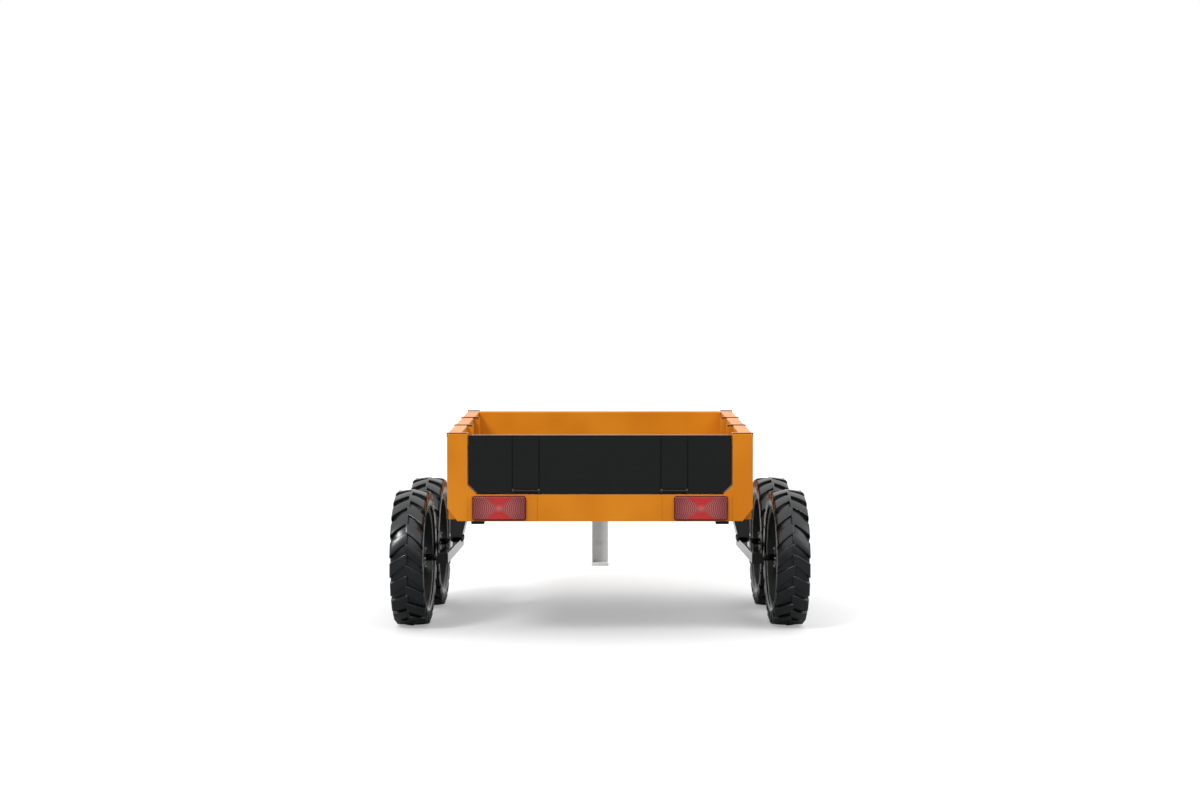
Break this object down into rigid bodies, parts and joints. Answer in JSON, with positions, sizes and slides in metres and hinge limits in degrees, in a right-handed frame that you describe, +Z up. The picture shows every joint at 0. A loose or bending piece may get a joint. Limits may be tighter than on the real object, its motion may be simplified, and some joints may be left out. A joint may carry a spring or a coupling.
{
  "type": "pedal go-kart trailer",
  "caption": "Four-wheel tipping trailer for a pedal go-kart: orange tub with drop tailgate and red reflectors, rocking tandem wheels with lugged tyres, drawbar with hitch eye and support leg.",
  "frame": {"origin": "on the ground, under the middle of the overall box", "axes": "+Y is the towing direction, +X is the trailer's right-hand side, +Z is up"},
  "size_m": [0.9734, 1.5894, 0.473],
  "materials": {
    "orange_panel": "moulded plastic, satin gloss, orange",
    "black_panel": "moulded plastic, black, satin gloss",
    "black_steel": "gloss black powder coat on steel tube and plate",
    "floor_steel": "black anti-slip coat on steel sheet",
    "zinc": "bright zinc-plated steel",
    "tyre": "black pneumatic tyre with lugs",
    "rim": "black wheel rim with a bright edge",
    "reflector": "red prismatic reflector lens",
    "nylon": "black nylon",
    "foot_rubber": "black rubber"
  },
  "bodies": {
    "chassis": {"chassis_rail_left": "black_steel", "chassis_rail_right": "black_steel", "middle_cross_member": "black_steel", "front_cross_member": "black_steel", "rear_cross_member": "black_steel", "drawbar": "black_steel", "hitch_eye": "black_steel", "rocker_hanger_left": "black_steel", "rocker_hanger_right": "black_steel", "tipping_latch_bracket": "black_steel", "chassis_bolts": "zinc", "rocker_pivot_pins": "zinc", "rocker_pivot_clips": "zinc", "tipping_hinge_pins": "zinc", "support_leg_bolt": "zinc", "tipping_latch_pin": "zinc"},
    "tub": {"side_panels_left": "orange_panel", "side_panels_right": "orange_panel", "front_wall": "orange_panel", "corner_post_left": "orange_panel", "corner_post_right": "orange_panel", "rear_sill": "orange_panel", "tub_floor": "floor_steel", "floor_joists": "black_steel", "tipping_hinge_lugs": "black_steel", "tipping_latch_keeper": "black_steel", "floor_bolts": "zinc", "side_panel_bolts": "zinc", "tailgate_hinge_pins": "zinc", "reflector_left": "reflector", "reflector_right": "reflector"},
    "tailgate": {"tailgate": "black_panel", "gate_bolt_guides": "black_steel"},
    "support_leg": {"support_leg": "zinc", "support_foot": "foot_rubber"},
    "tipping_latch": {"tipping_latch_lever": "zinc"},
    "gate_bolt_left": {"gate_bolt_left": "zinc"},
    "rocker_left": {"rocker_beam_left": "black_steel", "pivot_bushes_left": "nylon", "beam_end_caps_left": "nylon", "stub_axles_left": "zinc", "axle_nuts_left": "zinc"},
    "wheel_rear_left": {"tyre_rear_left": "tyre", "rim_rear_left": "rim", "bearings_rear_left": "zinc"},
    "wheel_front_left": {"tyre_front_left": "tyre", "rim_front_left": "rim", "bearings_front_left": "zinc"},
    "gate_bolt_right": {"gate_bolt_right": "zinc"},
    "rocker_right": {"rocker_beam_right": "black_steel", "pivot_bushes_right": "nylon", "beam_end_caps_right": "nylon", "stub_axles_right": "zinc", "axle_nuts_right": "zinc"},
    "wheel_rear_right": {"tyre_rear_right": "tyre", "rim_rear_right": "rim", "bearings_rear_right": "zinc"},
    "wheel_front_right": {"tyre_front_right": "tyre", "rim_front_right": "rim", "bearings_front_right": "zinc"}
  },
  "joints": [
    {"name": "tub_tip", "type": "hinge", "parent": "chassis", "child": "tub", "pos_m": [0, -0.72525, 0.287], "axis": [1, 0, 0], "range_deg": [0, 45]},
    {"name": "tailgate_hinge", "type": "hinge", "parent": "tub", "child": "tailgate", "pos_m": [0, -0.78225, 0.343], "axis": [1, 0, 0], "range_deg": [0, 90]},
    {"name": "support_leg_fold", "type": "hinge", "parent": "chassis", "child": "support_leg", "pos_m": [0, 0.65475, 0.287], "axis": [1, 0, 0], "range_deg": [-85, 0]},
    {"name": "tipping_latch_swing", "type": "hinge", "parent": "chassis", "child": "tipping_latch", "pos_m": [0, 0.16075, 0.331], "axis": [1, 0, 0], "range_deg": [0, 40]},
    {"name": "gate_bolt_left_slide", "type": "slide", "parent": "tailgate", "child": "gate_bolt_left", "axis": [-1, 0, 0], "range_m": [0, 0.014]},
    {"name": "gate_bolt_right_slide", "type": "slide", "parent": "tailgate", "child": "gate_bolt_right", "axis": [1, 0, 0], "range_m": [0, 0.014]},
    {"name": "rocker_left_pivot", "type": "hinge", "parent": "chassis", "child": "rocker_left", "pos_m": [-0.3633, -0.32275, 0.19], "axis": [0.9991, -0.0419, 0], "range_deg": [-12, 12]},
    {"name": "rocker_right_pivot", "type": "hinge", "parent": "chassis", "child": "rocker_right", "pos_m": [0.3633, -0.32275, 0.19], "axis": [0.9991, 0.0419, 0], "range_deg": [-12, 12]},
    {"name": "wheel_rear_left_spin", "type": "hinge", "parent": "rocker_left", "child": "wheel_rear_left", "pos_m": [-0.44196, -0.49211, 0.16], "axis": [0.9991, -0.0419, 0], "continuous": true},
    {"name": "wheel_front_left_spin", "type": "hinge", "parent": "rocker_left", "child": "wheel_front_left", "pos_m": [-0.42751, -0.14741, 0.16], "axis": [0.9991, -0.0419, 0], "continuous": true},
    {"name": "wheel_rear_right_spin", "type": "hinge", "parent": "rocker_right", "child": "wheel_rear_right", "pos_m": [0.44196, -0.49211, 0.16], "axis": [0.9991, 0.0419, 0], "continuous": true},
    {"name": "wheel_front_right_spin", "type": "hinge", "parent": "rocker_right", "child": "wheel_front_right", "pos_m": [0.42751, -0.14741, 0.16], "axis": [0.9991, 0.0419, 0], "continuous": true}
  ]
}
